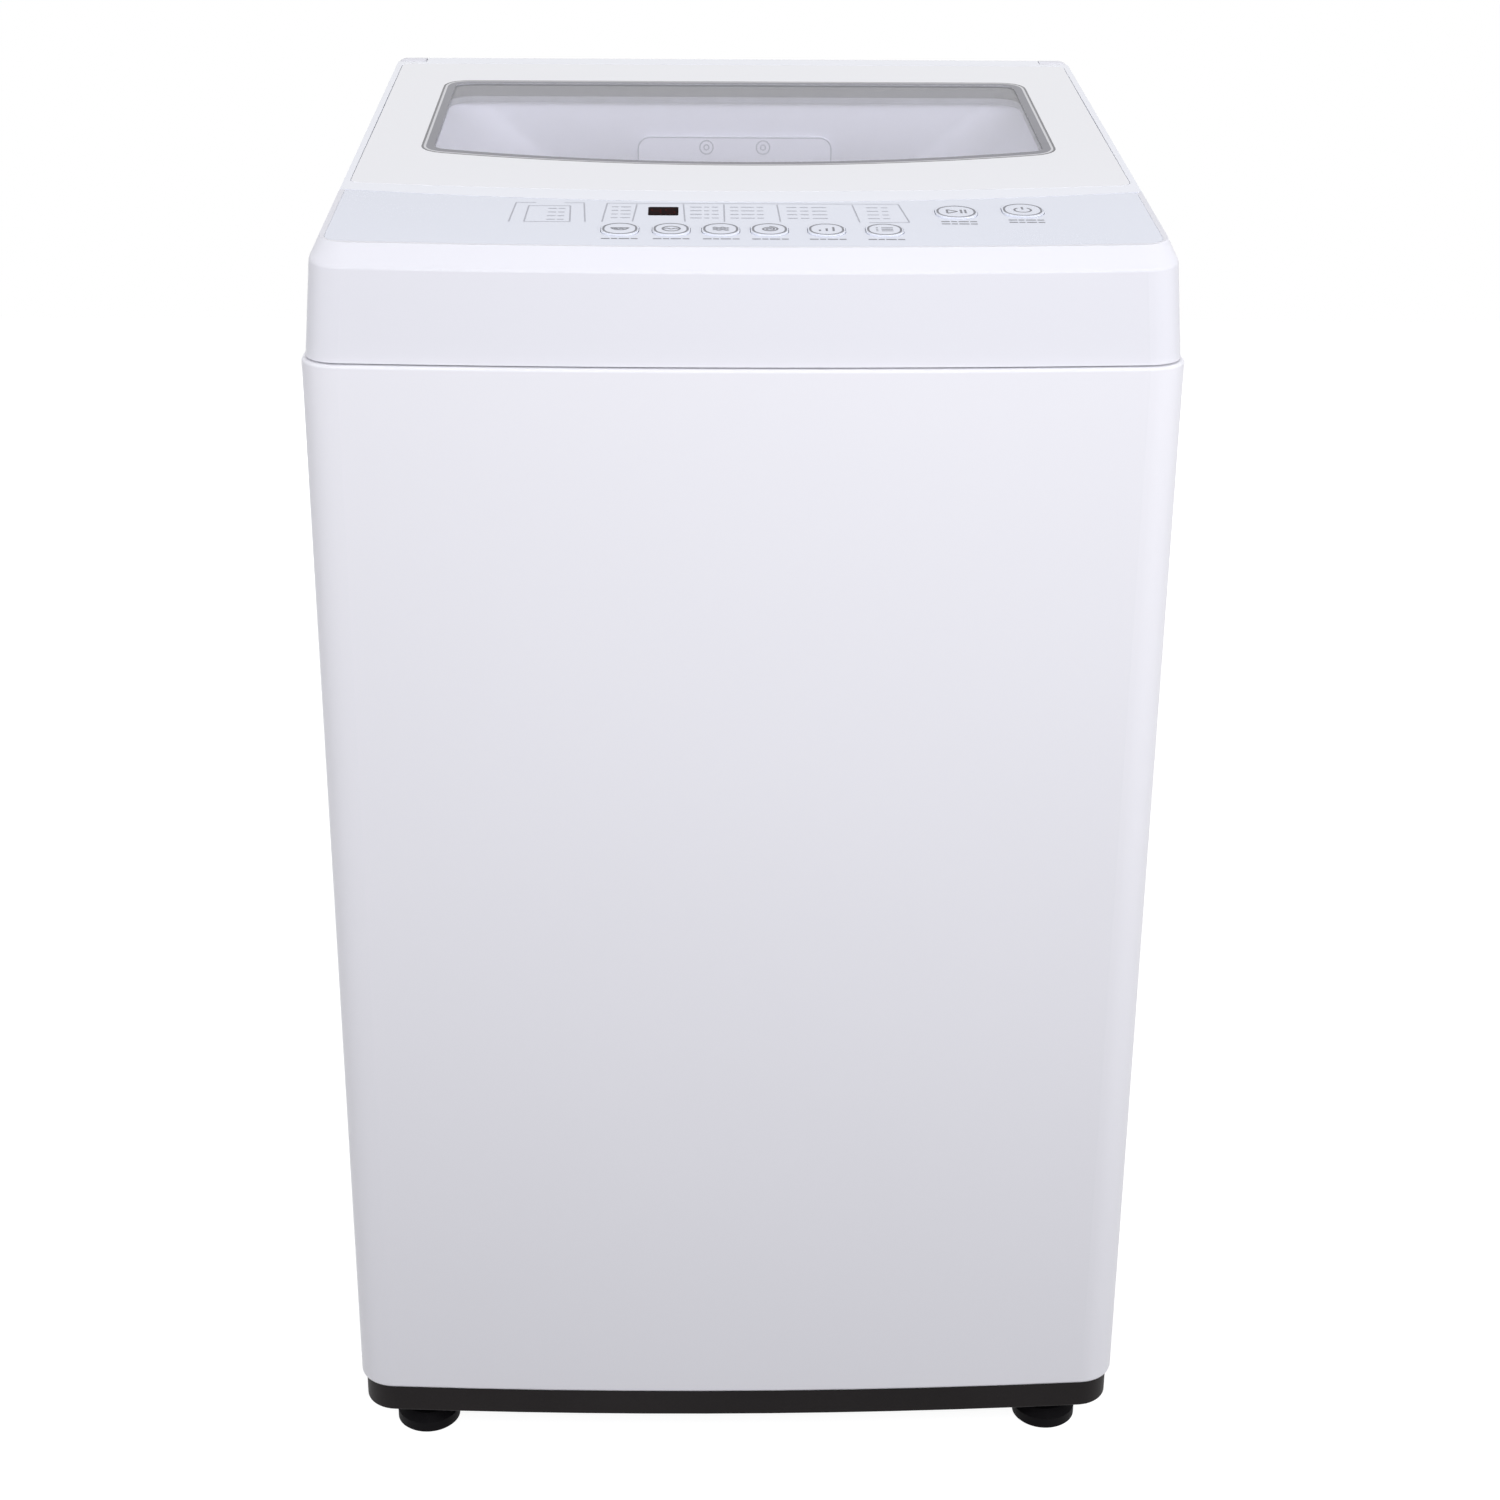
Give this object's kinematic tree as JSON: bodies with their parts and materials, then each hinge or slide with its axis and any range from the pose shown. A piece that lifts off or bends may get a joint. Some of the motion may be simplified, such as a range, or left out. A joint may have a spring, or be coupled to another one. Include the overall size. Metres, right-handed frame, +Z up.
{
  "type": "top load washing machine",
  "caption": "Upright top load washing machine: bowed white cabinet on levelling feet, sloping control panel, glazed hinged lid over a sprung tub, spinning basket and belt driven pulsator.",
  "frame": {"origin": "on the floor under the middle of the machine's box", "axes": "+Z up, front with the control panel at -Y, +X to the right seen from the front"},
  "size_m": [0.52, 0.5299, 0.8635],
  "materials": {
    "cabinet_paint": "satin enamel, cool white",
    "rear_sheet": "coated sheet, pale grey",
    "base_plastic": "dark charcoal moulding",
    "foot_rubber": "black rubber",
    "top_plastic": "glossy white moulding",
    "fascia_plastic": "pale blue-white film",
    "display_dark": "smoked window",
    "button_plastic": "pale blue-white keys",
    "lid_plastic": "glossy white moulding",
    "lid_glass": "clear tempered glass with a printed border",
    "drawer_plastic": "white moulding",
    "inner_plastic": "natural white polypropylene",
    "board_green": "coated circuit board",
    "black_plastic": "black moulding",
    "steel": "bright steel",
    "drum_steel": "brushed stainless steel",
    "zinc_sheet": "galvanised sheet",
    "aluminium": "die cast",
    "belt_rubber": "black ribbed belt",
    "motor_steel": "dark lacquered core",
    "bumper_rubber": "grey rubber"
  },
  "bodies": {
    "cabinet": {"cabinet_wrap": "cabinet_paint", "rear_panel": "rear_sheet", "rear_screws": "steel", "cord_gland": "black_plastic", "base_frame": "base_plastic", "top_frame": "top_plastic", "control_panel": "fascia_plastic", "display_window": "display_dark", "display_module": "black_plastic", "board_carrier": "inner_plastic", "control_board": "board_green", "panel_switches": "black_plastic", "lid_bumpers": "bumper_rubber", "lid_switch": "black_plastic", "drawer_housing": "inner_plastic", "water_valve": "inner_plastic", "corner_brackets": "zinc_sheet", "suspension_rods": "steel"},
    "lid": {"lid_frame": "lid_plastic", "lid_glass": "lid_glass", "hinge_pins": "steel"},
    "detergent_drawer": {"detergent_drawer": "drawer_plastic", "siphon_cap": "drawer_plastic"},
    "tub": {"outer_tub": "inner_plastic", "tub_cover": "inner_plastic", "suspension_sleeves": "inner_plastic", "bearing_housing": "aluminium", "carrier_plate": "zinc_sheet", "gear_case": "aluminium", "gear_bolts": "steel", "motor": "motor_steel", "drain_valve": "inner_plastic", "drive_belt": "belt_rubber"},
    "basket": {"basket_drum": "drum_steel", "basket_floor": "drawer_plastic", "balance_ring": "drawer_plastic", "basket_hub": "aluminium", "spin_tube": "steel", "lint_filters": "drawer_plastic"},
    "pulsator": {"pulsator": "drawer_plastic", "pulsator_shaft": "steel", "pulsator_cap": "drawer_plastic"},
    "drive_pulley": {"drive_pulley": "aluminium", "drive_shaft": "steel"},
    "motor_rotor": {"motor_shaft": "steel", "motor_pulley": "aluminium", "motor_fan": "black_plastic"},
    "button_soak": {"button_soak": "button_plastic"},
    "button_wash": {"button_wash": "button_plastic"},
    "button_rinse": {"button_rinse": "button_plastic"},
    "button_spin": {"button_spin": "button_plastic"},
    "button_level": {"button_level": "button_plastic"},
    "button_program": {"button_program": "button_plastic"},
    "button_start": {"button_start": "button_plastic"},
    "button_power": {"button_power": "button_plastic"},
    "foot_front_left": {"foot_front_left": "foot_rubber"},
    "foot_front_right": {"foot_front_right": "foot_rubber"},
    "foot_rear_left": {"foot_rear_left": "foot_rubber"},
    "foot_rear_right": {"foot_rear_right": "foot_rubber"}
  },
  "joints": [
    {"name": "lid_hinge", "type": "hinge", "parent": "cabinet", "child": "lid", "pos_m": [0, 0.24461, 0.85156], "axis": [-1, 0, 0], "range_deg": [0, 95]},
    {"name": "drawer_slide", "type": "slide", "parent": "cabinet", "child": "detergent_drawer", "axis": [0, -1, 0], "range_m": [0, 0.058]},
    {"name": "tub_bounce", "type": "slide", "parent": "cabinet", "child": "tub", "axis": [0, 0, 1], "range_m": [-0.012, 0.008], "stiffness_N_per_m": 13000, "springref_m": 0.0204},
    {"name": "basket_spin", "type": "hinge", "parent": "tub", "child": "basket", "pos_m": [0, 0, 0.3], "axis": [0, 0, 1], "continuous": true},
    {"name": "pulsator_spin", "type": "hinge", "parent": "tub", "child": "pulsator", "pos_m": [0, 0, 0.32], "axis": [0, 0, 1], "continuous": true},
    {"name": "drive_pulley_spin", "type": "hinge", "parent": "tub", "child": "drive_pulley", "pos_m": [0, 0, 0.092], "axis": [0, 0, 1], "continuous": true},
    {"name": "motor_spin", "type": "hinge", "parent": "tub", "child": "motor_rotor", "pos_m": [0.118, -0.112, 0.092], "axis": [0, 0, 1], "continuous": true},
    {"name": "press_soak", "type": "slide", "parent": "cabinet", "child": "button_soak", "axis": [0, 0.0698, -0.9976], "range_m": [0, 0.0008], "stiffness_N_per_m": 1200, "springref_m": -0.0006},
    {"name": "press_wash", "type": "slide", "parent": "cabinet", "child": "button_wash", "axis": [0, 0.0698, -0.9976], "range_m": [0, 0.0008], "stiffness_N_per_m": 1200, "springref_m": -0.0006},
    {"name": "press_rinse", "type": "slide", "parent": "cabinet", "child": "button_rinse", "axis": [0, 0.0698, -0.9976], "range_m": [0, 0.0008], "stiffness_N_per_m": 1200, "springref_m": -0.0006},
    {"name": "press_spin", "type": "slide", "parent": "cabinet", "child": "button_spin", "axis": [0, 0.0698, -0.9976], "range_m": [0, 0.0008], "stiffness_N_per_m": 1200, "springref_m": -0.0006},
    {"name": "press_level", "type": "slide", "parent": "cabinet", "child": "button_level", "axis": [0, 0.0698, -0.9976], "range_m": [0, 0.0008], "stiffness_N_per_m": 1200, "springref_m": -0.0006},
    {"name": "press_program", "type": "slide", "parent": "cabinet", "child": "button_program", "axis": [0, 0.0698, -0.9976], "range_m": [0, 0.0008], "stiffness_N_per_m": 1200, "springref_m": -0.0006},
    {"name": "press_start", "type": "slide", "parent": "cabinet", "child": "button_start", "axis": [0, 0.0698, -0.9976], "range_m": [0, 0.0008], "stiffness_N_per_m": 1200, "springref_m": -0.0006},
    {"name": "press_power", "type": "slide", "parent": "cabinet", "child": "button_power", "axis": [0, 0.0698, -0.9976], "range_m": [0, 0.0008], "stiffness_N_per_m": 1200, "springref_m": -0.0006},
    {"name": "level_front_left", "type": "slide", "parent": "cabinet", "child": "foot_front_left", "axis": [0, 0, -1], "range_m": [0, 0.012]},
    {"name": "level_front_right", "type": "slide", "parent": "cabinet", "child": "foot_front_right", "axis": [0, 0, -1], "range_m": [0, 0.012]},
    {"name": "level_rear_left", "type": "slide", "parent": "cabinet", "child": "foot_rear_left", "axis": [0, 0, -1], "range_m": [0, 0.012]},
    {"name": "level_rear_right", "type": "slide", "parent": "cabinet", "child": "foot_rear_right", "axis": [0, 0, -1], "range_m": [0, 0.012]}
  ],
  "couplings": [
    {"joint": "drive_pulley_spin", "follows": "pulsator_spin", "ratio": 5},
    {"joint": "motor_spin", "follows": "pulsator_spin", "ratio": 18.268}
  ]
}
